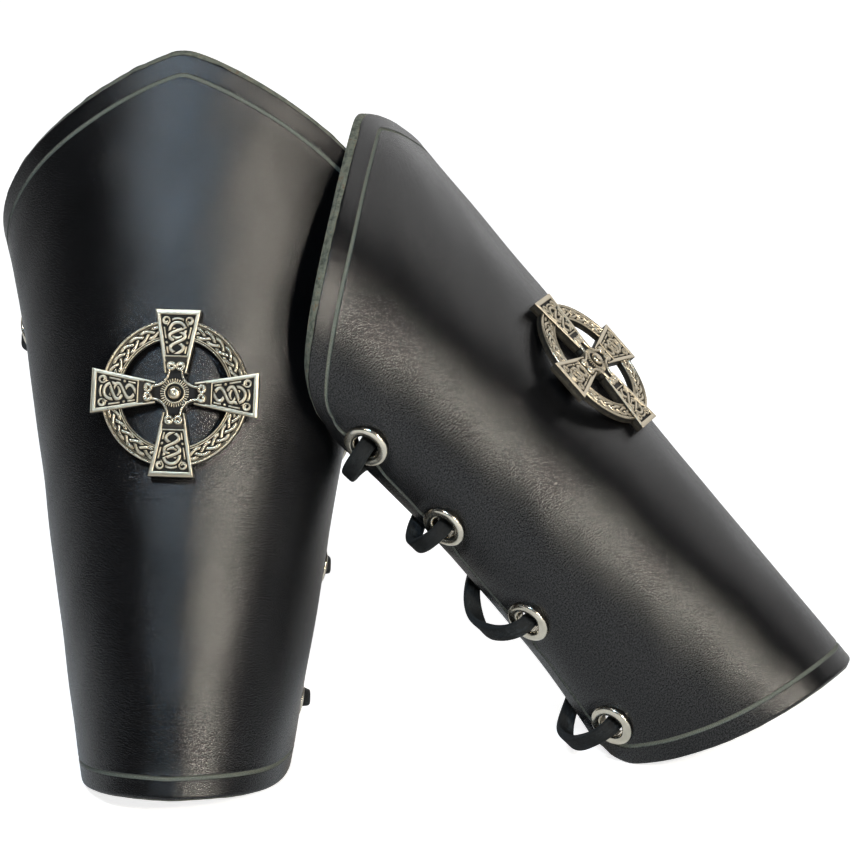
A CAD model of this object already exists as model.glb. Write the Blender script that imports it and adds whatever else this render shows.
"""Looks of a pair of laced leather archery arm guards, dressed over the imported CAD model.

The file is laid out as an add-on: sizes and colours are properties, each group of pieces has an
operator, and a panel in the 3D view's sidebar lists them. It is run as a script.
Lengths in the functions are millimetres in a guard's own frame (+Z from wrist to elbow, front at
-Y) until stand() turns them into metres in the shared frame.
"""
import math
from functools import cache

import bpy
import numpy as np
from bpy.props import FloatProperty, FloatVectorProperty, IntProperty, PointerProperty
from mathutils import Matrix


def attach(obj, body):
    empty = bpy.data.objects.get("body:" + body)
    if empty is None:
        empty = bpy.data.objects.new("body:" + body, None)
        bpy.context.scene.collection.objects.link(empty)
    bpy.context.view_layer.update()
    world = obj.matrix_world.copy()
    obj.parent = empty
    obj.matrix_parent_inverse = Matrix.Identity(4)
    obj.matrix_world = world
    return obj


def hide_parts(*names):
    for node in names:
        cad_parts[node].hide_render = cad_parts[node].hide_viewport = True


bl_info = {
    "name": "Leather Arm Guards",
    "version": (1, 0, 0),
    "blender": (4, 5, 0),
    "location": "View3D > Sidebar > Arm Guards",
    "description": "Black leather, lacing, nickel eyelets and cast ring crosses of a pair of arm guards",
    "category": "Object",
}

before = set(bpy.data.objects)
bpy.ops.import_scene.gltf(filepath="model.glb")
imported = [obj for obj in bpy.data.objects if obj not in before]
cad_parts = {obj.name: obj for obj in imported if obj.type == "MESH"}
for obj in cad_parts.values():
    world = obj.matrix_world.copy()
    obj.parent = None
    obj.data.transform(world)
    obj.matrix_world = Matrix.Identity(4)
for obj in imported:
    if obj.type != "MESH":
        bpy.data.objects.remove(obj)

GUARD_LEN = 240.0
LEATHER_T = 3.0
WRIST_HALF, ELBOW_HALF = 99.5, 100.0
WRIST_RISE, WRIST_BOW = 0.045, 0.003  # the wrist's cut: rise per mm and per mm squared from the front
ELBOW_FALL, ELBOW_BOW = 0.37, 0.0024  # the elbow's cut: fall per mm and per mm squared from the peak
EDGE_HOLLOW, CORNER_R, PEAK_R, BEVEL = 1.8, 12.0, 4.0, 2.0
EDGE_ROUND, ELBOW_CRISP = 0.9, 0.55  # quarter round of the grain edge; how much less at the elbow
INNER_ROUND = 0.7
HOLE_R, POST_R = 5.2, 3.0  # holes in the leather for an eyelet and for the medallion's post
EYELET_LOW, EYELET_HIGH, EYELET_POWER = 42.0, 161.5, 1.1
INSET_LOW, INSET_HIGH = 14.0, 9.8
FRONT_LOW, FRONT_RISE = 32.5, 22.5
MEDALLION_Z = 129.5
SEAT = 0.5
PRESS_R, PRESS_FADE, PRESS_DEPTH = 10.4, 2.8, 0.42  # the seat pressed round an eyelet
LINE_HALF, LINE_WALL = 0.62, 0.12  # half width of the gouge and how far its walls run, in line widths
TURN_STEPS = 24  # steps in which the bend is summed along s
# the bend in degrees at s = 100 mm: constant, factor of u and of u squared in each of the terms s, s^3, s^5
BEND = ((208, -307, 167), (-176, 825, -719), (65, -297, 303))
ELBOW_FADE = 20.0  # the elbow's cut fades out so far down the lacing edges
GUARDS = {"a": dict(lean=27.5, turn=-4.2, at=(-81.37, -55.97)),
          "b": dict(lean=49.0, turn=69.6, at=(118.23, -25.07))}


# -------- sizes and colours

def millimetres(label, description, default, low, high):
    return FloatProperty(name=label, description=description + ", mm", default=default, min=low, max=high)


def tint(label, description, default):
    return FloatVectorProperty(name=label, description=description, subtype="COLOR", size=3,
                               default=default, min=0, max=1)


class GuardSizes(bpy.types.PropertyGroup):
    line_inset: millimetres("Line inset", "Distance of the tooled line from the edge", 6.7, 5, 7.5)
    line_depth: millimetres("Line depth", "Depth of the tooled line", 0.55, 0.2, 0.9)
    line_width: millimetres("Line width", "Width of the tooled line", 1.1, 0.6, 2)
    cell: millimetres("Leather cell", "Spacing of the leather's points", 1.35, 1, 4)
    lace_w: millimetres("Lace width", "Width of the flat lace", 5.6, 3, 6.4)
    lace_t: millimetres("Lace thickness", "Thickness of the lace", 3.0, 1.5, 3.4)
    relief_cell: millimetres("Relief cell", "Spacing of the medallion's points", 0.155, 0.15, 0.6)
    ring_waves: IntProperty(name="Plait turns", description="Waves of the plait round the ring",
                            default=11, min=6, max=20)
    ticks: IntProperty(name="Ticks", description="Radial ticks round the boss", default=34, min=16, max=48)


class GuardColours(bpy.types.PropertyGroup):
    leather: tint("Leather", "Dyed grain side", (0.0040, 0.0041, 0.0046))
    silver: tint("Antique silver", "Rubbed tops of the casting", (0.600, 0.525, 0.395))
    floor: tint("Floor", "Pale floor", (0.86, 0.86, 0.86))


def sizes():
    return bpy.context.scene.guard_sizes


def colours():
    return bpy.context.scene.guard_colours


def linear(hex_colour):
    """sRGB hex to linear RGBA: c/12.92 under 0.04045, else ((c + 0.055) / 1.055) ** 2.4."""
    c = [int(hex_colour[i:i + 2], 16) / 255 for i in (1, 3, 5)]
    return tuple(v / 12.92 if v <= 0.04045 else ((v + 0.055) / 1.055) ** 2.4 for v in c) + (1.0,)


# -------- the bent leather

def unit(v):
    """Each row over its length."""
    return v / np.linalg.norm(v, axis=-1, keepdims=True)


def about_z(a):
    return np.array([[math.cos(a), -math.sin(a), 0], [math.sin(a), math.cos(a), 0], [0, 0, 1]])


def wrist_edge(s):
    return WRIST_RISE * np.abs(s) + WRIST_BOW * s * s


def wrist_slope(s):
    return WRIST_RISE + 2 * WRIST_BOW * np.abs(s)


def elbow_edge(s):
    return GUARD_LEN - ELBOW_FALL * (np.sqrt(s * s + PEAK_R ** 2) - PEAK_R) - ELBOW_BOW * s * s


def elbow_slope(s):
    return ELBOW_FALL * np.abs(s) / np.sqrt(s * s + PEAK_R ** 2) + 2 * ELBOW_BOW * np.abs(s)


EDGE_LOW = float(wrist_edge(WRIST_HALF)) + CORNER_R
EDGE_HIGH = float(elbow_edge(ELBOW_HALF)) - CORNER_R


def edge_s(z):
    """Front line to lacing edge: straight from wrist to elbow, drawn in by a quartic hollow."""
    g = (np.clip(z, EDGE_LOW, EDGE_HIGH) - EDGE_LOW) / (EDGE_HIGH - EDGE_LOW)
    return WRIST_HALF + (ELBOW_HALF - WRIST_HALF) * g - EDGE_HOLLOW * (1 - (2 * g - 1) ** 4)


def at_elbow(z):
    """1 along the elbow's cut, fading to 0 down the lacing edges."""
    return np.clip((z - EDGE_HIGH + ELBOW_FADE) / ELBOW_FADE, 0, 1)


def turn(s, u):
    """Angle in radians that the leather has turned at s: an odd quintic in s whose terms are quadratics
    in u, the share of the height."""
    k = s / 100
    return np.radians(sum(k ** (2 * i + 1) * (a + b * u + c * u * u) for i, (a, b, c) in enumerate(BEND)))


def skin(s, z):
    """Point of the outer face at pattern place (s, z): the turn's cosine and sine summed along s."""
    s, z = np.broadcast_arrays(np.asarray(s, float), np.asarray(z, float))
    u = z / GUARD_LEN
    h = s / TURN_STEPS
    mid = (np.arange(TURN_STEPS) + 0.5).reshape((TURN_STEPS,) + (1,) * s.ndim)
    a = turn(mid * h, u)
    return np.stack([h * np.cos(a).sum(0), h * np.sin(a).sum(0) - FRONT_LOW - FRONT_RISE * u, z], -1)


def outward(s, z):
    return unit(np.cross(skin(s + .5, z) - skin(s - .5, z), skin(s, z + .5) - skin(s, z - .5)))


def round_arm(s, z):
    return unit(skin(s + .5, z) - skin(s - .5, z))


def eyelet_z(i):
    return EYELET_HIGH - (EYELET_HIGH - EYELET_LOW) * ((i % 4) / 3) ** EYELET_POWER


def eyelet_inset(i):
    return INSET_HIGH + (INSET_LOW - INSET_HIGH) * (i % 4) / 3


def eyelet_s(i):
    return (-1 if i < 4 else 1) * (float(edge_s(eyelet_z(i))) - eyelet_inset(i))


EYELETS = np.array([[eyelet_s(i), eyelet_z(i)] for i in range(8)])


def stand(p, guard):
    """Local millimetres to metres in the shared frame: lean back about X, turn about Z, then set down."""
    g = GUARDS[guard]
    a = math.radians(g["lean"])
    back = np.array([[1, 0, 0], [0, math.cos(a), math.sin(a)], [0, -math.sin(a), math.cos(a)]])
    spin = about_z(math.radians(g["turn"]))
    return (np.asarray(p) @ (spin @ back).T + np.array([*g["at"], drop(g["lean"])])) / 1000


def foot(c, a, d):
    """Points of the wrist's cut drawn in by d: share c of its straight part plus angle a in its corner."""
    r = CORNER_R - d
    s = c * (WRIST_HALF - CORNER_R) + r * np.sin(a)
    k = wrist_slope(s)
    return np.stack([s, wrist_edge(s) + d * np.sqrt(1 + k * k) + r * (1 - np.cos(a))], -1)


def head(c, a, d):
    """The same of the elbow's cut."""
    r = CORNER_R - d
    s = c * (ELBOW_HALF - CORNER_R) + r * np.sin(a)
    k = elbow_slope(s)
    return np.stack([s, elbow_edge(s) - d * np.sqrt(1 + k * k) - r * (1 - np.cos(a))], -1)


def cut_places(n, f):
    """Places along the foot or head with n steps in a corner and f flats each way: the corner's angles,
    the share of the straight part from -1 to 1, and the angle in the corner."""
    arc = np.radians(45) * np.arange(1, n + 1) / n
    share = np.concatenate([-np.ones(n), np.arange(-f, f + 1) / f, np.ones(n)])
    return arc, share, np.concatenate([-arc[::-1], np.zeros(2 * f + 1), arc])


def four_sides(d, step):
    """The outline drawn in by d, its points about a step apart, as foot, head and right side."""
    n = max(6, int(CORNER_R * math.pi / 4 / step))
    m = int((EDGE_HIGH - EDGE_LOW) / step)
    arc, c, a = cut_places(n, int((WRIST_HALF - CORNER_R) / step))
    low, high = foot(c, a, d), head(c, a, d)
    r = CORNER_R - d
    z0 = foot(np.array(1.), np.array(math.pi / 2), d)[1]
    z1 = head(np.array(1.), np.array(math.pi / 2), d)[1]
    z = np.concatenate([z0 - r * np.sin(arc[::-1]), z0 + (z1 - z0) * np.arange(m + 1) / m,
                        z1 + r * np.sin(arc)])
    b = np.concatenate([arc[::-1], np.zeros(m + 1), arc])
    side = np.stack([edge_s(z) - d - r * (1 - np.cos(b)), z], -1)
    side[0], side[-1] = low[-1], high[-1]
    return low, high, side


def rim(d, step):
    """The four sides joined into one ring, counter-clockwise from the wrist's left corner."""
    low, high, side = four_sides(d, step)
    left = side[-2:0:-1] * [-1, 1]
    return np.concatenate([low, side[1:-1], high[::-1], left])


@cache
def drop(lean):
    """How far the guard is lifted so that its lowest point touches the floor, from the CAD's coarse foot,
    which has 3 steps in a corner and 13 flats each way."""
    _, c, a = cut_places(3, 13)
    p = foot(c, a, 0.0)
    q = skin(p[:, 0], p[:, 1])
    q = np.concatenate([q, q - LEATHER_T * outward(p[:, 0], p[:, 1])])
    e = math.radians(lean)
    return -float((q[:, 2] * math.cos(e) - q[:, 1] * math.sin(e)).min())


def wander(s, z, waves):
    """Sum of slanted sines (amplitude, wavelength along s, wavelength along z, phase)."""
    return sum(a * np.sin(2 * np.pi * (s / x + z / y) + p) for a, x, y, p in waves)


def quarter_round(d, r):
    """Depth at d from the edge of a quarter round of radius r."""
    return np.where(d < r, r - np.sqrt(np.maximum(r * r - (r - np.minimum(d, r)) ** 2, 0)), 0.0)


def pressed(s, z, d):
    """How far the grain face lies under the sheet's face at pattern place (s, z), d from the edge, in
    mm: a quarter round at the edge, a gouged line with steep sides and a low lip on both, a shallow seat
    round each eyelet and a slow unevenness of the hide."""
    t = sizes()
    depth = quarter_round(d, EDGE_ROUND - ELBOW_CRISP * at_elbow(z))
    off = np.abs(d - t.line_inset) / t.line_width
    floor = t.line_depth * (1 + wander(s, z, [(0.10, 13, 17, 0.4), (0.08, 5, 7, 1.3)]))
    depth = (depth + floor * np.clip((LINE_HALF - off) / LINE_WALL, 0, 1)
             - 0.05 * np.exp(-((off - 0.85) / 0.2) ** 2))
    away = np.hypot(s[..., None] - EYELETS[:, 0], z[..., None] - EYELETS[:, 1]).min(-1)
    seat = np.clip((PRESS_R - away) / PRESS_FADE, 0, 1)
    depth = depth + PRESS_DEPTH * seat * seat * (3 - 2 * seat) - 0.10 * np.exp(-((away - 11.0) / 1.3) ** 2)
    calm = np.clip((np.hypot(s, z - MEDALLION_Z) - 9) / 8, 0, 1) * np.clip((away - 9) / 6, 0, 1)
    return depth + calm * wander(s, z, [(0.09, 61, 47, 0.2), (0.07, -38, 52, 2.1), (0.05, 23, -31, 4.0)])


def band(a, b):
    """Quads between two closed rings of point numbers."""
    return np.stack([a, b, np.roll(b, -1), np.roll(a, -1)], -1)


def net(n, m, closed=""):
    """Quads of an n by m grid of points numbered row by row; closed names the ways, n or m, it wraps."""
    g = np.arange(n * m).reshape(n, m)
    if "n" in closed:
        g = np.concatenate([g, g[:1]])
    if "m" in closed:
        g = np.concatenate([g, g[:, :1]], 1)
    return np.stack([g[:-1, :-1], g[1:, :-1], g[1:, 1:], g[:-1, 1:]], -1).reshape(-1, 4)


class Sheet:
    """Pattern points of one face of the leather: rims near the edge, then a grid stretched between the
    last rim's sides by the transfinite rule (opposite sides blended, less the corner blend)."""

    def __init__(self, step):
        t = sizes()
        beside = np.array([0.2, 0.5, 0.62, 0.75, 0.95, 1.3])
        d = np.concatenate([[0, 0.06, 0.22, 0.45, 0.75, 1.2, 2.2, 3.4, 4.4],
                            t.line_inset + t.line_width * np.concatenate([-beside[::-1], beside])])
        rims = [rim(x, step) for x in d]
        low, high, side = four_sides(d[-1], step)
        n, m = len(low), len(side)
        u = (low[:, 0] / low[-1, 0] + 1) / 2
        v = (side[:, 1] - side[0, 1]) / (side[-1, 1] - side[0, 1])
        across = low[None] * (1 - v[:, None, None]) + high[None] * v[:, None, None]
        pull = side - (side[0] * (1 - v[:, None]) + side[-1] * v[:, None])
        grid = across + np.stack([(2 * u[None] - 1) * pull[:, :1],
                                  np.broadcast_to(pull[:, 1:], (m, n))], -1)
        k = self.rim_len = len(rims[0])
        ring = np.arange(k)
        base = (len(d) - 1) * k
        # the grid's border in the rims' order
        border = np.concatenate([np.arange(n), (np.arange(1, m - 1) + 1) * n - 1,
                                 (m - 1) * n + np.arange(n - 1, -1, -1), np.arange(m - 2, 0, -1) * n])
        self.quads = np.concatenate([band(r * k + ring, (r + 1) * k + ring) for r in range(len(d) - 2)]
                                    + [band(base - k + ring, base + border), base + net(m, n)])
        self.points = np.concatenate([np.concatenate(rims[:-1]), grid.reshape(-1, 2)])
        # the inner face reaches further by the bevel along the elbow, fading out 8 mm from the edge
        out = at_elbow(rims[0][:, 1:])
        far = [rim(x - BEVEL * (1 - x / 8), step) for x in d[:-1] if x < 8]
        inner = [a + out * (b - a) for a, b in zip(rims, far)]
        self.inner = np.concatenate(inner + [self.points[len(inner) * k:]])
        self.dist = np.concatenate([np.repeat(d[:-1], k), self._inner_distance(grid.reshape(-1, 2), d[-1])])

    @staticmethod
    def _inner_distance(p, least):
        """Rough distance of a grid point from the outline: the nearest of its four sides."""
        s, z = p[:, 0], p[:, 1]
        a = (z - wrist_edge(s)) / np.sqrt(1 + wrist_slope(s) ** 2)
        b = (elbow_edge(s) - z) / np.sqrt(1 + elbow_slope(s) ** 2)
        return np.maximum(np.minimum(np.minimum(a, b), edge_s(z) - np.abs(s)), least)


def open_cells(quads, points, holes):
    """Quads kept outside the holes, and the border edges, ordered as in the kept quads, of what is cut."""
    keep = np.ones(len(quads), bool)
    mid = points[quads].mean(1)
    for s, z, r in holes:
        keep &= np.hypot(mid[:, 0] - s, mid[:, 1] - z) > r
    kept, gone = quads[keep], quads[~keep]
    e = np.stack([kept, np.roll(kept, -1, 1)], -1).reshape(-1, 2)
    f = np.stack([gone, np.roll(gone, -1, 1)], -1).reshape(-1, 2)[:, ::-1]
    big = len(points) + 1
    both = np.isin(e[:, 0] * big + e[:, 1], f[:, 0] * big + f[:, 1])
    return kept, e[both]


# -------- meshes

def make(name, verts, faces, material_index=None, smooth=True, uv=None, attributes=None):
    """A mesh object at the origin from numpy arrays. faces is a list of (n, 3) or (n, 4) arrays or of
    single polygons; uv is given per vertex."""
    faces = [np.atleast_2d(f) for f in faces]
    loops = np.concatenate([f.reshape(-1) for f in faces]).astype(np.int32)
    counts = np.concatenate([np.full(len(f), f.shape[1]) for f in faces]).astype(np.int32)
    me = bpy.data.meshes.new(name)
    me.vertices.add(len(verts))
    me.vertices.foreach_set("co", np.asarray(verts, np.float32).reshape(-1))
    me.loops.add(len(loops))
    me.loops.foreach_set("vertex_index", loops)
    me.polygons.add(len(counts))
    start = np.concatenate([[0], np.cumsum(counts)[:-1]]).astype(np.int32)
    me.polygons.foreach_set("loop_start", start)
    me.polygons.foreach_set("loop_total", counts)
    me.update(calc_edges=True)
    me.polygons.foreach_set("use_smooth", np.full(len(counts), smooth))
    if material_index is not None:
        me.polygons.foreach_set("material_index", np.asarray(material_index, np.int32))
    if uv is not None:
        per_loop = np.asarray(uv, np.float32)[loops]
        me.uv_layers.new(name="UVMap").data.foreach_set("uv", per_loop.reshape(-1))
    for key, values in (attributes or {}).items():
        at_points = me.attributes.new(key, "FLOAT", "POINT")
        at_points.data.foreach_set("value", np.asarray(values, np.float32))
    me.update()
    me.validate()
    o = bpy.data.objects.new(name, me)
    bpy.context.scene.collection.objects.link(o)
    return o


def revolve(profile, n=56):
    """A closed profile of (radius, height) turned about Z in n steps. Returns points and quads."""
    a = 2 * np.pi * np.arange(n) / n
    p = np.asarray(profile, float)
    v = np.stack([p[None, :, 0] * np.cos(a)[:, None], p[None, :, 0] * np.sin(a)[:, None],
                  np.broadcast_to(p[None, :, 1], (n, len(p)))], -1).reshape(-1, 3)
    return v, net(n, len(p), "nm")


def on_leather(p, s, z, guard):
    """Local points about a place on the leather, +Z out of the guard, to the shared frame."""
    c, n = skin(s, z), outward(s, z)
    e = round_arm(s, z)
    e = unit(e - (e @ n) * n)
    return stand(c + p[:, :1] * e + p[:, 1:2] * np.cross(n, e) + p[:, 2:] * n, guard)


# -------- materials

def wire(nt, node, **links):
    """Sets a node's inputs. A keyword is the input's name or index with an underscore before it; its
    value is a socket or a plain value."""
    for k, v in links.items():
        s = node.inputs[int(k[1:]) if k[1:].isdigit() else k[1:].replace("_", " ")]
        if isinstance(v, bpy.types.NodeSocket):
            nt.links.new(v, s)
        else:
            s.default_value = v


def add(nt, kind, settings=None, **links):
    """Adds one shader node with its settings and inputs."""
    n = nt.nodes.new("ShaderNode" + kind)
    for k, v in (settings or {}).items():
        setattr(n, k, v)
    wire(nt, n, **links)
    return n


def noise(nt, vector, scale, detail, roughness=0.5):
    return add(nt, "TexNoise", _Vector=vector, _Scale=scale, _Detail=detail,
               _Roughness=roughness).outputs[0]


def times_plus(nt, a, b, c):
    """a * b + c"""
    return add(nt, "Math", {"operation": "MULTIPLY_ADD"}, _0=a, _1=b, _2=c).outputs[0]


def spread(nt, value, low, high, to_low, to_high):
    """Maps low to high onto to_low to to_high."""
    return add(nt, "MapRange", _Value=value, _From_Min=low, _From_Max=high, _To_Min=to_low,
               _To_Max=to_high).outputs[0]


def blend(nt, share, a, b):
    return add(nt, "Mix", {"data_type": "RGBA"}, _0=share, _6=a, _7=b).outputs[2]


def uneven(nt, strength, distance, height, **under):
    return add(nt, "Bump", _Strength=strength, _Distance=distance, _Height=height,
               **under).outputs[0]


def stored(nt, name):
    """The value that the piece's points carry under that name."""
    return add(nt, "Attribute", {"attribute_name": name}).outputs["Fac"]


def pattern_place(nt):
    return add(nt, "UVMap", {"uv_map": "UVMap"}).outputs[0]


def object_place(nt):
    return add(nt, "TexCoord").outputs["Object"]


def ramp(nt, fac, *stops):
    """A colour ramp whose stops are (place, sRGB hex or linear colour)."""
    n = add(nt, "ValToRGB", _0=fac)
    e = n.color_ramp.elements
    while len(e) > 1:
        e.remove(e[-1])
    for i, (place, c) in enumerate(stops):
        stop = e.new(place) if i else e[0]
        stop.position, stop.color = place, linear(c) if isinstance(c, str) else c
    return n.outputs[0]


def mat(name):
    """A new material with its shader, and its node tree."""
    m = bpy.data.materials.new(name)
    m.use_nodes = True
    nt = m.node_tree
    return m, nt, nt.nodes["Principled BSDF"]


def rgba(c, times=1):
    return (c[0] * times, c[1] * times, c[2] * times, 1.0)


def grain_leather():
    """Vegetable-tanned cowhide, dyed black and waxed: a fine pebble of half-millimetre grains whose tops
    catch the light and whose pits don't, a slightly uneven finish and a raw grey bottom to the line."""
    m, nt, sh = mat("Black_dyed_cowhide")
    uv = pattern_place(nt)
    cloud = noise(nt, uv, 38.0, 5.0, 0.62)
    fine = noise(nt, uv, 3300.0, 2.0, 0.6)
    pebble = noise(nt, uv, 1900.0, 1.0)
    line = stored(nt, "line")
    dye = colours().leather
    base = ramp(nt, cloud, (0.35, rgba(dye, 0.8)), (0.62, rgba(dye, 1.2)))
    raw = ramp(nt, fine, (0.3, "#3C403A"), (0.55, "#646A61"), (0.7, "#7A7E73"))
    grains = times_plus(nt, pebble, 1.2, fine)
    wire(nt, sh, _Base_Color=blend(nt, line, base, raw), _IOR=1.5,
         _Roughness=times_plus(nt, line, 0.5, spread(nt, cloud, 0.3, 0.7, 0.17, 0.22)),
         _Specular_IOR_Level=spread(nt, grains, 0.85, 1.35, 0.2, 0.85),
         _Normal=uneven(nt, 0.25, 0.0006, cloud, _Normal=uneven(nt, 0.5, 0.00018, grains)))
    return m


def flesh_leather():
    """The flesh side of the same hide: short napped fibres, dyed charcoal and dull."""
    m, nt, sh = mat("Charcoal_flesh_side")
    uv = pattern_place(nt)
    nap = noise(nt, uv, 520.0, 8.0, 0.72)
    mixed = times_plus(nt, nap, 0.6, noise(nt, uv, 30.0, 4.0))
    wire(nt, sh, _Base_Color=ramp(nt, mixed, (0.55, "#1B1B1C"), (1.0, "#3C3A38")), _Roughness=0.92,
         _Specular_IOR_Level=0.25, _Normal=uneven(nt, 0.7, 0.0005, nap))
    return m


def cut_leather():
    """The raw cut edge: the dye only stains the surface, so the fibres show olive grey with brown
    specks."""
    m, nt, sh = mat("Raw_cut_leather_edge")
    co = object_place(nt)
    fibre = noise(nt, co, 1500.0, 6.0, 0.7)
    mixed = times_plus(nt, fibre, 0.55, noise(nt, co, 480.0, 4.0, 0.6))
    olive = ramp(nt, mixed, (0.5, "#2A2C25"), (0.68, "#575B4F"), (0.84, "#74776A"), (0.96, "#65543F"))
    wire(nt, sh, _Base_Color=olive, _Roughness=0.85, _Normal=uneven(nt, 0.8, 0.0004, mixed))
    return m


def lace_leather():
    """Cut leather thong, dyed through: matt black with short raised fibres and a slightly paler edge."""
    m, nt, sh = mat("Black_leather_thong")
    stretched = add(nt, "Mapping", _Vector=pattern_place(nt), _Scale=(1.0, 0.45, 1.0)).outputs[0]
    fine = noise(nt, stretched, 1100.0, 5.0, 0.7)
    wide = noise(nt, stretched, 120.0, 3.0)
    base = ramp(nt, times_plus(nt, fine, 0.7, wide), (0.65, "#070809"), (0.85, "#121516"), (1.05, "#262B2E"))
    edge = add(nt, "Math", {"operation": "MULTIPLY"}, _0=stored(nt, "edge"), _1=0.4).outputs[0]
    wire(nt, sh, _Base_Color=blend(nt, edge, base, linear("#2A3034")), _Specular_IOR_Level=0.3,
         _Roughness=spread(nt, wide, 0.0, 1.0, 0.6, 0.8), _Normal=uneven(nt, 0.9, 0.0005, fine))
    return m


def bright_nickel():
    """Nickel-plated brass, pressed and tumbled: a warm satin metal with hairlines and a little film."""
    m, nt, sh = mat("Nickel_plated_brass")
    co = object_place(nt)
    film = noise(nt, co, 260.0, 4.0)
    hair = noise(nt, co, 2600.0, 3.0)
    wire(nt, sh, _Base_Color=ramp(nt, film, (0.3, "#D6CFBE"), (0.7, "#F2EBDA")), _Metallic=1.0,
         _Roughness=spread(nt, film, 0.3, 0.75, 0.15, 0.26), _Normal=uneven(nt, 0.12, 0.0001, hair))
    return m


def cast_silver():
    """Cast zinc alloy with an antique silver finish: black patina left in the hollows and rubbed off
    the tops, which show a warm, softly worn silver with casting pits."""
    m, nt, sh = mat("Antique_silver_casting")
    co = object_place(nt)
    pits = noise(nt, co, 1500.0, 5.0, 0.65)
    worn = times_plus(nt, pits, 0.16, stored(nt, "rubbed"))
    worn = times_plus(nt, noise(nt, co, 300.0, 4.0, 0.6), 0.22, worn)
    metal = ramp(nt, worn, (0.34, "#12110F"), (0.52, "#2E2B26"), (0.8, "#8C8370"),
                 (1.0, rgba(colours().silver)))
    wire(nt, sh, _Base_Color=metal, _Metallic=spread(nt, worn, 0.35, 1.1, 0.45, 1.0),
         _Roughness=spread(nt, worn, 0.4, 1.2, 0.62, 0.27), _Normal=uneven(nt, 0.4, 0.0002, pits))
    return m


MAKERS = {"grain": grain_leather, "flesh": flesh_leather, "cut": cut_leather, "lace": lace_leather,
          "nickel": bright_nickel, "silver": cast_silver}


@cache
def material(key):
    """Makes a material once and keeps it."""
    return MAKERS[key]()


# -------- leather

def rough(n, passes, seed):
    """A closed line of n random values of spread 1, blended with their neighbours passes times."""
    v = np.random.default_rng(seed).normal(size=n)
    for _ in range(passes):
        v = (np.roll(v, 1) + 2 * v + np.roll(v, -1)) / 4
    return v / v.std()


def leather(guard):
    """Outer and inner face over the same pattern points, joined by a rounded edge and by a wall round
    each hole. Outer point = face less the pressed depth along its normal; inner = a leather's thickness
    in. Along the elbow the cut slants out to the longer inner face, with a low swell and torn fibres."""
    t = sizes()
    sh = Sheet(t.cell)
    holes = [(s, z, HOLE_R) for s, z in EYELETS] + [(0.0, MEDALLION_Z, POST_R)]
    quads, border = open_cells(sh.quads, sh.points, holes)
    s, z, d = sh.points[:, 0], sh.points[:, 1], sh.dist
    k, m = sh.rim_len, len(s)
    lip = at_elbow(z)
    down = pressed(s, z, d)
    down[:k] = EDGE_ROUND - ELBOW_CRISP * lip[:k] + 0.06 * lip[:k] * rough(k, 1, 3)
    outer = skin(s, z) - down[:, None] * outward(s, z)
    up = quarter_round(d, INNER_ROUND) * (1 - 0.6 * lip)
    up = up + wander(s, z, [(0.06, 9, 13, 0.3), (0.05, -7, 11, 1.0)]) * np.clip(d / 3, 0, 1)
    si, zi = sh.inner[:, 0], sh.inner[:, 1]
    inner = skin(si, zi) - (LEATHER_T - up)[:, None] * outward(si, zi)
    ring = np.arange(k)
    # away from the sheet, measured on the edge and the sixth rim
    out = unit(outer[:k] - outer[k * 6:k * 7])
    seed = 11 if guard == "a" else 29
    outer[:k] += (0.10 * lip[:k] * rough(k, 1, seed))[:, None] * out
    rows, cuts = 9, []
    for i in range(1, rows):
        f = i / rows
        swell = 0.30 * math.sin(math.pi * f) + (0.05 + 0.09 * lip[:k]) * rough(k, 1 + i % 3, seed + i)
        cuts.append(outer[:k] * (1 - f) + inner[:k] * f + swell[:, None] * out)
    verts = np.concatenate([outer, inner] + cuts)
    rows_at = [ring] + [2 * m + (i - 1) * k + ring for i in range(1, rows)] + [m + ring]
    wall = np.concatenate([np.stack([a, np.roll(a, -1), np.roll(b, -1), b], -1)
                           for a, b in zip(rows_at[:-1], rows_at[1:])])
    hole_wall = np.stack([border[:, 1], border[:, 0], border[:, 0] + m, border[:, 1] + m], -1)
    # the quads run clockwise seen from outside, so the outer face takes them turned
    faces = [quads[:, ::-1], quads + m, wall, hole_wall]
    # grain, flesh, cut edge, and flesh again in the holes
    index = np.repeat([0, 1, 2, 1], [len(f) for f in faces])
    # the inner face and each row of the cut lie apart from the grain in the UV plane
    uv = np.concatenate([sh.points, sh.points + [0.0, 300.0]]
                        + [sh.points[:k] + [0, 600 + 3 * i] for i in range(1, rows)]) / 1000
    # the raw bottom shows a little beyond the gouge
    line = np.clip((LINE_HALF + 0.02 - np.abs(d - t.line_inset) / t.line_width) / LINE_WALL, 0, 1)
    line = np.concatenate([line, np.zeros(len(verts) - m)])
    o = make("leather_sheet_" + guard, stand(verts, guard), faces, index, uv=uv, attributes={"line": line})
    for key in ("grain", "flesh", "cut"):
        o.data.materials.append(material(key))
    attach(o, "guards")
    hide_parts("leather_" + guard)
    return o


# -------- eyelets

def eyelet_profile():
    """Closed profile of one pressed eyelet: a domed flange that rolls over into the hole, a thin barrel
    and a lower rolled rim inside the guard."""
    a = np.linspace(0, np.pi, 15)
    dome = np.stack([5.85 + 1.75 * np.cos(a), -0.42 + 1.35 * np.sin(a) ** 0.65], -1)
    low = -SEAT - LEATHER_T
    b = np.linspace(np.pi, 2 * np.pi, 11)
    roll = np.stack([5.35 + 1.25 * np.cos(b), low + 0.35 + 0.95 * np.sin(b)], -1)
    bore, barrel = 4.1, 4.6
    return np.concatenate([dome, [[bore, -1.2], [bore, low + 0.6]], roll,
                           [[barrel, low + 0.55], [barrel - 0.05, -0.62]]])


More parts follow.
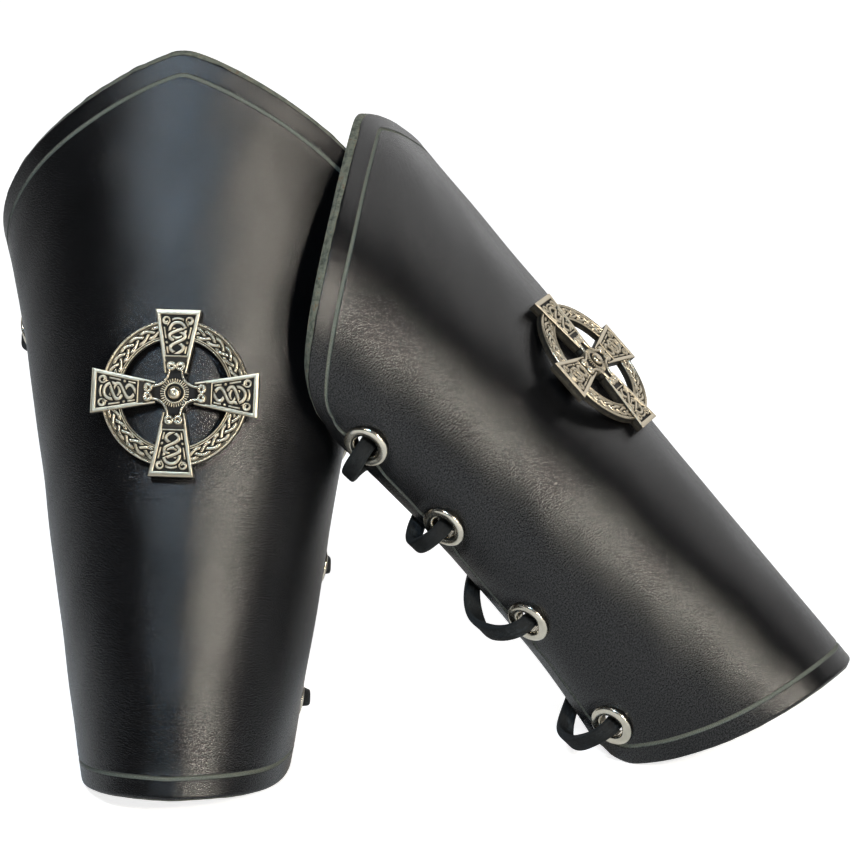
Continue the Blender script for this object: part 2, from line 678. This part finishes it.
def eyelets(guard):
    """Eight revolved eyelets, each set at its place on the leather."""
    v, q = revolve(eyelet_profile())
    pts = [on_leather(v, s, z, guard) for s, z in EYELETS]
    faces = np.concatenate([q + i * len(v) for i in range(8)])
    o = make("eyelet_set_" + guard, np.concatenate(pts), [faces])
    o.data.materials.append(material("nickel"))
    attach(o, "guards")
    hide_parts(*["eyelet_%s%d" % (guard, i) for i in range(1, 9)])
    return o


# -------- lacing

LACE_RISE = [-3, 8, 22, 13, -3, 8, 13, 10]  # how far a lace end rises from its eyelet
LACE_SLACK = [-1.6, -1.8, -1.4, 0, 0, 0, 2.5, 0]  # added to the reach of its loop past the edge
PASS_GAP, PASS_IN = 4.3, 3.0  # how far a crossing keeps from the other one and from the edges
KNOT = np.array([0.0, 25.0, 150.0])
KNOT_R = 4.2


def eye_spot(i, o):
    """Eyelet i's place plus an offset towards the edge, out of the guard and up."""
    s, z = EYELETS[i]
    side = -1 if i < 4 else 1
    return skin(s, z) + side * o[0] * round_arm(s, z) + o[1] * outward(s, z) + np.array([0, 0, o[2]])


def last_out(i):
    return eye_spot(i, (eyelet_inset(i) + 2.4 + LACE_SLACK[i], -5.5, LACE_RISE[i]))


def first_in(i):
    return eye_spot(i, (eyelet_inset(i) - 2, -10.5, -4))


def out_of(i):
    """Up through eyelet i and over the edge of the leather, to last_out."""
    a, r = eyelet_inset(i), LACE_RISE[i]
    stops = [(0, -9, 0), (0, -3, 0), (0.5, 2, 0), (4.5, 5.6, 0.12 * r), (a + 0.5, 4.8, 0.4 * r),
             (a + 4.4 + LACE_SLACK[i], 0.8, 0.72 * r)]
    return [eye_spot(i, o) for o in stops] + [last_out(i)]


def climb(order, way):
    """Up one way from the wrist bar, through the eyelets in the order that the lace meets them."""
    p = []
    for k, i in enumerate(order):
        if k == 0:
            p.append(eye_spot(i, (-6, -13, 0)))
        else:
            a, b = last_out(order[k - 1]), first_in(i)
            p += [a + (b - a) * t - np.array([0, way * PASS_GAP + PASS_IN, 0]) for t in (0.3, 0.7)]
            p += [b, eye_spot(i, (4.5, -13.5, -2))]
        p += out_of(i)
    return p


def knot(way):
    """Half of the knot: one end goes once round the other and hangs down inside the guard."""
    p = []
    for k in range(7):
        f = k / 6
        a = math.radians(180 - 360 * f if way > 0 else 360 * f)
        p.append(KNOT + np.array([way * (11 - 22 * f), KNOT_R * math.cos(a), KNOT_R * math.sin(a)]))
    tail = ((-5, 2, -5), (-5.5, 3, -14), (-4.5, 4, -24), (-3.5, 4.5, -34))
    return p + [p[-1] + np.array([way * x, y, z]) for x, y, z in tail]


def smooth(p, step):
    """Catmull-Rom curve through the stops in steps of about that length."""
    out = []
    for i in range(len(p) - 1):
        a, b, c, d = p[max(i - 1, 0)], p[i], p[i + 1], p[min(i + 2, len(p) - 1)]
        n = max(1, int(math.floor(np.linalg.norm(c - b) / step + 0.5)))
        t = (np.arange(n) / n)[:, None]
        out.append(0.5 * (2 * b + (c - a) * t + (2 * a - 5 * b + 4 * c - d) * t ** 2
                          + (3 * b - a - 3 * c + d) * t ** 3))
    return np.concatenate(out + [p[-1][None]])


def lace_path():
    """The lace's middle line as the CAD has it, but for three loops that LACE_SLACK draws nearer to the
    edge, smoothed and drawn again in steps of 0.9 mm."""
    left, right = climb([3, 6, 1, 4], 1), climb([7, 2, 5, 0], -1)
    stops = knot(1)[::-1] + left[::-1] + [(left[0] + right[0]) / 2] + right + knot(-1)
    p = smooth(stops, 3.0)
    for _ in range(2):
        p[1:-1] = (p[:-2] + 2 * p[1:-1] + p[2:]) / 4
    return smooth(list(p), 0.9)


def lace_section(w, t, n=20):
    """Rounded rectangle w by t, a super-ellipse whose cosine is raised to 0.42 and sine to 0.55."""
    a = 2 * np.pi * (np.arange(n) + 0.5) / n
    c, s = np.cos(a), np.sin(a)
    return np.stack([w / 2 * np.sign(c) * np.abs(c) ** 0.42, t / 2 * np.sign(s) * np.abs(s) ** 0.55], -1)


def lace(guard):
    """The flat section carried along the path; its width keeps as near the guard's length as it can."""
    t = sizes()
    p = lace_path()
    run = unit(np.gradient(p, axis=0))
    up = np.array([0, 0, 1.0]) - run[:, 2:] * run
    for _ in range(6):
        up[1:-1] = (up[:-2] + up[1:-1] * 2 + up[2:]) / 4
    up = unit(up - (up * run).sum(-1, keepdims=True) * run)
    side = np.cross(up, run)
    sec = lace_section(t.lace_w, t.lace_t)
    x = np.concatenate([[0], np.cumsum(np.linalg.norm(np.diff(p, axis=0), axis=1))])
    wide = 0.97 + 0.06 * np.sin(x / 7.3) * np.sin(x / 3.1 + 1)
    ends = np.clip(np.minimum(x, x[-1] - x) / 1.2, 0, 1) ** 0.5
    v = (p[:, None]
         + sec[None, :, :1] * (wide * (0.35 + 0.65 * ends))[:, None, None] * up[:, None]
         + sec[None, :, 1:] * (0.3 + 0.7 * ends)[:, None, None] * side[:, None])
    n, m = len(p), len(sec)
    q = net(n, m, "m")[:, [0, 3, 2, 1]]
    around = np.concatenate([[0], np.cumsum(np.linalg.norm(np.diff(sec, axis=0), axis=1))])
    uv = np.stack(np.broadcast_arrays(around[None], x[:, None]), -1).reshape(-1, 2) / 1000
    edge = np.tile((np.abs(sec[:, 0]) > t.lace_w * 0.46).astype(float), n)
    o = make("lacing_" + guard, stand(v.reshape(-1, 3), guard),
             [q, np.arange(m)[::-1], (n - 1) * m + np.arange(m)], uv=uv, attributes={"edge": edge})
    o.data.materials.append(material("lace"))
    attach(o, "guards")
    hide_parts("lace_" + guard)
    return o


# -------- medallion

CROSS_R, ARM_END, ARM_ROOT = 27.0, 14.7, 7.0  # reach of an arm, and its width at the end and the root
RING_R, RING_W, RING_T, ARM_T = 24.0, 6.3, 2.2, 3.0
PLATE_Z = 0.9
BORDER = 1.2
ARM_SLOPE = (ARM_END - ARM_ROOT) / 2 / (CROSS_R - RING_W)
ARM_FROM = 6.4
PANEL_FROM, KNOT_FROM, KNOT_TO, KNOT_PITCH = 12.1, 12.5, 22.4, 7.6
HOOP_Y = 20.3  # middle of the ring in an arm's panel
CURL_Y, CURL_X = 8.75, 1.5


def cord(dist, half):
    """Height, 0 to 1, of a raised cord with a flattened top: (1 - (dist / half)^4)^(1/2) in half."""
    return np.sqrt(np.maximum(1 - (dist / half) ** 4, 0))


def weave(cords, gap=0.3):
    """Interlaced cords, each (distance, half width, over). Where two meet, the one with the larger over
    passes on top and the other stops a gap short. Height 0 on the ground, 1 on the tops."""
    high = 0.0
    for i, (dist, half, over) in enumerate(cords):
        k = cord(dist, half)
        for j, (dist2, half2, over2) in enumerate(cords):
            if j != i:
                k = np.where((over2 > over) & (dist2 < half2 + gap), 0, k)
        high = np.maximum(high, k)
    return high


def plait(along, across, waves, amp, half):
    """Three cords at across = amp sin(waves along + a third of a turn), over = sin of twice that angle."""
    cords = []
    for k in range(3):
        a = along * waves + 2 * np.pi * k / 3
        slope = amp * np.cos(a) * waves
        cords.append((np.abs(across - amp * np.sin(a)) / np.sqrt(1 + slope ** 2), half, np.sin(2 * a)))
    return weave(cords)


def ridge(x, half, high):
    """A raised line: high * (1 - (x / half)^2)^0.5 inside half, else 0."""
    return high * np.sqrt(np.maximum(1 - (x / half) ** 2, 0))


def arm_half(y):
    return ARM_ROOT / 2 + ARM_SLOPE * (y - RING_W)


def curl(x, y):
    """Distance to a small spiral about (0, 0) that starts at radius 0.35 and widens by 0.78 a turn."""
    r, a = np.hypot(x, y), np.arctan2(y, x) + np.pi
    d = np.abs(r - 0.35 - 0.78 * a / (2 * np.pi))
    return np.minimum(d, np.abs(r - 1.13))


def panel_weave(x, y, wide):
    """The panel's own knot: two cords that cross at x = +-0.62 wide sin(2 pi (y - 12.6) / 7.6) through a
    ring of radius 2.55, a dotted stem in the ring, curls in the outer corners and a bar on each side."""
    cords = []
    for s in (1, -1):
        a = 2 * np.pi * (y - 12.6) / KNOT_PITCH
        path = s * 0.62 * wide * np.sin(a)
        slope = s * 0.62 * wide * np.cos(a) * 2 * np.pi / KNOT_PITCH
        inside = (y > KNOT_FROM) & (y < KNOT_TO)
        cords.append((np.where(inside, np.abs(x - path) / np.sqrt(1 + slope ** 2), 9), 0.62,
                      s * np.cos(a)))
    from_hoop, th = np.hypot(x, y - HOOP_Y), np.arctan2(y - HOOP_Y, x)
    cords.append((np.abs(from_hoop - 2.55), 0.6, 1.4 * np.sin(2 * th) * np.sign(np.cos(th) + 1e-9)))
    high = weave(cords)
    high = np.maximum(high, cord(from_hoop, 0.62) * (from_hoop > 0.2))
    for s in (1, -1):
        cx = s * (arm_half(23.6) - BORDER - 1.75)
        high = np.maximum(high, cord(curl(s * (x - cx), y - 23.4), 0.3) * (np.hypot(x - cx, y - 23.4) < 1.5))
        high = np.maximum(high, cord(np.hypot(x - s * (wide - 0.4), y - 16.3), 0.5))
    high = np.maximum(high, cord(np.abs(from_hoop - 3.85), 0.42) * (np.abs(x) < 1.9) * (y > 20))
    bar = cord(np.abs(np.abs(x) - wide + 0.30), 0.36) * (y < 21.3) * (y > 12.7)
    return np.maximum(high, bar * ((y < 15.0) | (y > 17.6)))


def arm_relief(x, y):
    """Height over the arm's plate at (x, y), y outwards from the middle: a raised border on three sides,
    a sunk panel with its knot, a small hollow nearer the middle, and a pair of curls."""
    inside = (arm_half(y) - np.abs(x)) / math.sqrt(1 + ARM_SLOPE ** 2)
    edge = np.minimum(inside, CROSS_R - y - 0.35)
    sunk = np.clip(np.minimum(edge - BORDER, y - PANEL_FROM) / 0.2, 0, 1)
    h = -0.8 * sunk + 0.78 * sunk * panel_weave(x, y, arm_half(y) - BORDER - 0.45)
    h = h - 0.12 * np.clip(1 - edge / 0.3, 0, 1) ** 2
    hollow = np.clip(np.minimum(np.minimum(inside - 0.75, 11.8 - y), y - 9.9) / 0.25, 0, 1)
    h = h - 0.5 * hollow
    near = np.clip((10.1 - y) / 0.2, 0, 1) * np.clip((inside - 0.5) / 0.2, 0, 1)
    h = h - 0.55 * near
    for s in (1, -1):
        d = curl(s * (x - s * CURL_X), CURL_Y - y)
        at_curl = np.hypot(x - s * CURL_X, y - CURL_Y) < 1.6
        h = np.maximum(h, -0.5 + 0.72 * cord(d, 0.42) * at_curl - 0.2 * (1 - near))
    return h


def centre_relief(r, a):
    """Height over the middle plate: short radial dashes round a plain ring, and four hollow curves that
    join the curls, each an arc of radius 5.15 about a point 10.2 out along a diagonal."""
    dash = cord(np.abs(((a * sizes().ticks / (2 * np.pi)) % 1) - 0.5) * 2, 0.62)
    h = -0.55 + 0.5 * dash * np.clip((r - 3.15) / 0.15, 0, 1) * np.clip((4.75 - r) / 0.15, 0, 1)
    h = np.maximum(h, -0.5 + 0.5 * cord(np.abs(r - 3.15), 0.26))
    for k in range(4):
        b = a - math.pi / 4 - k * math.pi / 2
        arc = np.abs(np.hypot(r * np.cos(b) - 10.2, r * np.sin(b)) - 5.15)
        h = np.maximum(h, -0.5 + 0.72 * cord(arc, 0.46))
    return h


def slab(x, y, z, rubbed):
    """A closed piece from an n by m grid of top points: the grid, a wall round its border down to the
    flat back, and the back as one polygon."""
    n, m = z.shape
    top = np.stack([x, y, z], -1).reshape(-1, 3)
    g = np.arange(n * m).reshape(n, m)
    ring = np.concatenate([g[:-1, 0], g[-1, :-1], g[:0:-1, -1], g[0, :0:-1]])
    k = len(ring)
    rows, pts, rub = [ring], [top], [rubbed.reshape(-1)]
    for i, f in enumerate((0.12, 0.5, 1.0)):
        p = top[ring].copy()
        p[:, 2] = p[:, 2] * (1 - f) + PLATE_Z * f
        pts.append(p)
        rub.append(np.full(k, 0.25 + 0.2 * f))
        rows.append(n * m + i * k + np.arange(k))
    walls = [band(a, b) for a, b in zip(rows[:-1], rows[1:])]
    return np.concatenate(pts), [net(n, m)] + walls + [rows[-1][::-1]], np.concatenate(rub)


def medallion_parts():
    """Arms, ring sectors and middle as grids over (along, across), each closed, about the medallion's own
    axis with +Y along one arm. Returns points, faces and how rubbed each point is."""
    c = sizes().relief_cell
    out = []
    quarters = [about_z(k * math.pi / 2).T for k in range(4)]
    # four arms
    ny, nx = int((CROSS_R - ARM_FROM) / c), int(ARM_END / c * 0.82)
    yy, uu = np.meshgrid(ARM_FROM + (CROSS_R - ARM_FROM) * np.arange(ny + 1) / ny,
                         -1 + 2 * np.arange(nx + 1) / nx, indexing="ij")
    xx = uu * arm_half(yy)
    h = arm_relief(xx, yy)
    pts, faces, rb = slab(xx, yy, PLATE_Z + ARM_T + h, np.clip((h + 0.75) / 0.8, 0, 1))
    out += [(pts @ q, [f[..., ::-1] for f in faces], rb) for q in quarters]
    # four sectors of the ring, each running a little way into the arms
    r0, r1 = RING_R - RING_W, RING_R
    nr, na = int(RING_W / c), int(21.5 / c)
    rr, ww = np.meshgrid(r0 + RING_W * np.arange(nr + 1) / nr, np.arange(na + 1) / na, indexing="ij")
    start = np.arcsin((arm_half(rr * 0.96) - 0.2) / rr)
    ang = start + ww * (math.pi / 2 - 2 * start)
    mid = (r0 + r1) / 2
    h = -0.6 + 0.75 * plait(ang * mid, rr - mid + 0.1, sizes().ring_waves / mid, 1.36, 0.52)
    h = h + ridge(rr - r0 - 0.28, 0.28, 0.75) + ridge(rr - r0 - 0.95, 0.26, 0.6) * (h < -0.5)
    h = h + ridge(r1 - 0.5 - rr, 0.5, 0.95) + ridge(r1 - 1.3 - rr, 0.2, 0.4) * (h < -0.5)
    pts, faces, rb = slab(rr * np.cos(ang), rr * np.sin(ang), PLATE_Z + RING_T + h,
                          np.clip((h + 0.6) / 0.7, 0, 1))
    out += [(pts @ q, faces, rb) for q in quarters]
    # the middle plate, a rounded square on its corners, as a polar grid
    na, nr = 220, int(8.5 / c)
    a = 2 * np.pi * np.arange(na) / na
    ff, aa = np.meshgrid(np.linspace(0, 1, nr + 1)[1:], a, indexing="ij")
    reach = 7.15 + 1.75 * np.cos(4 * aa)
    rr = ff * reach
    h = centre_relief(rr, aa)
    z0 = PLATE_Z + ARM_T
    top = np.stack([rr * np.cos(aa), rr * np.sin(aa), z0 + h], -1).reshape(-1, 3)
    n = nr * na
    low = np.stack([reach[0] * np.cos(a), reach[0] * np.sin(a), np.full(na, PLATE_Z)], -1)
    e = np.arange(na)
    tip = np.stack([np.full(na, n + na), e, np.roll(e, -1)], -1)
    out.append((np.concatenate([top, low, [[0, 0, z0 - 0.45]]]),
                [net(nr, na, "m"), band((nr - 1) * na + e, n + e), tip, (n + e)[::-1]],
                np.concatenate([np.clip((h + 0.55) / 0.6, 0, 1).reshape(-1), np.full(na, 0.4), [0.3]])))
    # the boss and the collar that seats the medallion, as closed revolved profiles
    b = np.linspace(0, np.pi / 2, 12)
    boss = np.concatenate([[[0.0, z0 + 1.28], [0.25, z0 + 1.33], [0.55, z0 + 1.48]],
                           np.stack([0.75 + 1.4 * np.sin(b), z0 + 0.25 + 1.25 * np.cos(b)], -1),
                           [[2.15, z0 - 0.6], [0.0, z0 - 0.6]]])
    v, q = revolve(boss)
    out.append((v, [q], np.clip((v[:, 2] - z0 + 0.3) / 0.9, 0, 1)))
    collar = [[5.0, PLATE_Z + 0.2], [5.0, 0.13], [4.9, 0.03], [0, 0.03], [0, PLATE_Z + 0.2]]
    v, q = revolve(collar)
    out.append((v, [q], np.full(len(v), 0.4)))
    return out


def medallion(guard):
    """The parts above joined, set on the leather at the medallion's height."""
    verts, faces, rub, at = [], [], [], 0
    for v, f, r in medallion_parts():
        verts.append(v)
        faces += [np.asarray(x) + at for x in f]
        rub.append(r)
        at += len(v)
    v = np.concatenate(verts)
    # guard a's medallion has slipped round its screw by this much
    tilt = math.radians(1.5 if guard == "a" else 0.0)
    o = make("ring_cross_" + guard, on_leather(v @ about_z(-tilt).T, 0.0, MEDALLION_Z, guard), faces,
             attributes={"rubbed": np.concatenate(rub)})
    o.data.materials.append(material("silver"))
    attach(o, "medallion_" + guard)
    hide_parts("medallion_" + guard)
    return o


# -------- operators

class GUARD_OT_leather(bpy.types.Operator):
    """Makes both bent leather sheets"""
    bl_idname = "guard.leather"
    bl_label = "Leather"

    def execute(self, context):
        for g in GUARDS:
            leather(g)
        return {"FINISHED"}


class GUARD_OT_eyelets(bpy.types.Operator):
    """Makes the nickel eyelets of both guards"""
    bl_idname = "guard.eyelets"
    bl_label = "Eyelets"

    def execute(self, context):
        for g in GUARDS:
            eyelets(g)
        return {"FINISHED"}


class GUARD_OT_lacing(bpy.types.Operator):
    """Makes the leather lace of both guards"""
    bl_idname = "guard.lacing"
    bl_label = "Lacing"

    def execute(self, context):
        for g in GUARDS:
            lace(g)
        return {"FINISHED"}


class GUARD_OT_medallions(bpy.types.Operator):
    """Makes both cast ring crosses, and finishes their screws"""
    bl_idname = "guard.medallions"
    bl_label = "Medallions"

    def execute(self, context):
        for g in GUARDS:
            medallion(g)
            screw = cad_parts["screw_" + g]
            screw.data.materials.clear()
            screw.data.materials.append(material("nickel"))
        return {"FINISHED"}


def place(o, x, y, z, at):
    """Puts a light or camera at a point with its axes along x, y and z, and into the scene."""
    o.matrix_world = Matrix([[x[i], y[i], z[i], at[i]] for i in range(3)] + [[0, 0, 0, 1]])
    bpy.context.scene.collection.objects.link(o)


def soft_light(name, azimuth, elevation, wide, high, watts, colour):
    """An area light turned to aim at the pair's middle from its azimuth and elevation."""
    d = bpy.data.lights.new(name, "AREA")
    d.shape, d.size, d.size_y = "RECTANGLE", wide, high
    d.energy, d.color = watts, colour
    a, e = math.radians(azimuth), math.radians(elevation)
    away = np.array([math.sin(a) * math.cos(e), -math.cos(a) * math.cos(e), math.sin(e)])
    z = unit(LIGHT_FAR * away)
    x = unit(np.cross([0, 0, 1.0], z))
    place(bpy.data.objects.new(name, d), x, np.cross(z, x), z, LIGHT_FAR * away + PAIR_MIDDLE)


PAIR_MIDDLE = np.array([0, 0, 0.11])
LIGHT_FAR = 1.5
# name, azimuth from the camera's side (+ is right), elevation, width and height in metres, watts, colour
LIGHTS = (
    ("key_warm", 28, 23, 0.14, 0.14, 12.4, (1.0, 0.93, 0.82)),
    ("key_side", 44, 12, 0.16, 0.16, 1.1, (1.0, 0.85, 0.75)),
    ("low_front", 26, 2, 0.16, 0.16, 3.6, (1.0, 0.95, 0.82)),
    ("left_warm", -28, 46, 0.18, 0.18, 4.6, (1.0, 0.93, 0.84)),
    ("left_blue", -19, 46, 0.20, 0.20, 6.4, (0.42, 0.70, 1.0)),
    ("rim_right", 105, 40, 0.3, 0.3, 1.7, (1.0, 0.98, 0.95)),
)
# the camera's place and its right, up and back, solved from the outlines in the photograph
CAMERA_AT = (0.00005, -1.30974, 0.47190)
CAMERA_AXES = ((0.99992, -0.00339, -0.01216), (0.01262, 0.26888, 0.96309), (0.0, -0.96317, 0.26891))
SENSOR, LENS = 36.0, 173.86
FLOOR_HALF = 6


class GUARD_OT_stage(bpy.types.Operator):
    """Makes the pale floor, the soft lights and the camera"""
    bl_idname = "guard.stage"
    bl_label = "Stage"

    def execute(self, context):
        sc = context.scene
        corners = FLOOR_HALF * np.array([[-1, -1, 0], [1, -1, 0], [1, 1, 0], [-1, 1, 0]], float)
        floor = make("floor", corners, [np.array([[0, 1, 2, 3]])], smooth=False)
        m, nt, sh = mat("Pale_floor")
        wire(nt, sh, _Base_Color=rgba(colours().floor), _Roughness=0.9)
        glow = add(nt, "Emission", _Color=(1, 1, 1, 1), _Strength=0.75)
        seen = add(nt, "LightPath").outputs["Is Camera Ray"]
        both = add(nt, "AddShader", _0=sh.outputs[0], _1=glow.outputs[0])
        mix = add(nt, "MixShader", _0=seen, _1=sh.outputs[0], _2=both.outputs[0])
        nt.links.new(mix.outputs[0], nt.nodes["Material Output"].inputs[0])
        floor.data.materials.append(m)
        w = sc.world or bpy.data.worlds.new("World")
        sc.world = w
        w.use_nodes = True
        nt = w.node_tree
        nt.nodes.clear()
        path = add(nt, "LightPath").outputs
        seen = add(nt, "Math", {"operation": "MAXIMUM"}, _0=path["Is Camera Ray"],
                   _1=path["Is Transmission Ray"])
        # the backdrop behind the pair is white and the room in front of it dark
        way = add(nt, "TexCoord").outputs["Generated"]
        way = add(nt, "SeparateXYZ", _0=way).outputs["Y"]
        room = spread(nt, way, 0.1, 0.75, 0.03, 1.0)
        fill = add(nt, "Background", _Color=(1, 1, 1, 1), _Strength=room)
        white = add(nt, "Background", _Color=(1, 1, 1, 1), _Strength=1.0)
        mix = add(nt, "MixShader", _0=seen.outputs[0], _1=fill.outputs[0], _2=white.outputs[0])
        add(nt, "OutputWorld", _0=mix.outputs[0])
        for light in LIGHTS:
            soft_light(*light)
        cam = bpy.data.cameras.new("camera")
        cam.sensor_width, cam.lens = SENSOR, LENS
        cam.clip_start, cam.clip_end = 0.05, 20
        sc.camera = bpy.data.objects.new("camera", cam)
        place(sc.camera, *CAMERA_AXES, CAMERA_AT)
        sc.view_settings.view_transform = "Standard"
        return {"FINISHED"}


class GUARD_PT_panel(bpy.types.Panel):
    """Lists the steps, the sizes and the colours"""
    bl_idname = "GUARD_PT_panel"
    bl_label = "Arm Guards"
    bl_space_type = "VIEW_3D"
    bl_region_type = "UI"
    bl_category = "Arm Guards"

    def draw(self, context):
        for step in STEPS:
            self.layout.operator(step.bl_idname)
        for group in (context.scene.guard_sizes, context.scene.guard_colours):
            for name in group.__annotations__:
                self.layout.prop(group, name)


STEPS = (GUARD_OT_leather, GUARD_OT_eyelets, GUARD_OT_lacing, GUARD_OT_medallions, GUARD_OT_stage)
CLASSES = (GuardSizes, GuardColours) + STEPS + (GUARD_PT_panel,)


def register():
    for c in CLASSES:
        bpy.utils.register_class(c)
    bpy.types.Scene.guard_sizes = PointerProperty(type=GuardSizes)
    bpy.types.Scene.guard_colours = PointerProperty(type=GuardColours)


def unregister():
    del bpy.types.Scene.guard_sizes
    del bpy.types.Scene.guard_colours
    for c in reversed(CLASSES):
        bpy.utils.unregister_class(c)


def main():
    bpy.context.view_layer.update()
    register()
    bpy.ops.guard.leather()
    bpy.ops.guard.eyelets()
    bpy.ops.guard.lacing()
    bpy.ops.guard.medallions()
    bpy.ops.guard.stage()
    bpy.context.view_layer.update()


if __name__ == "__main__":
    main()
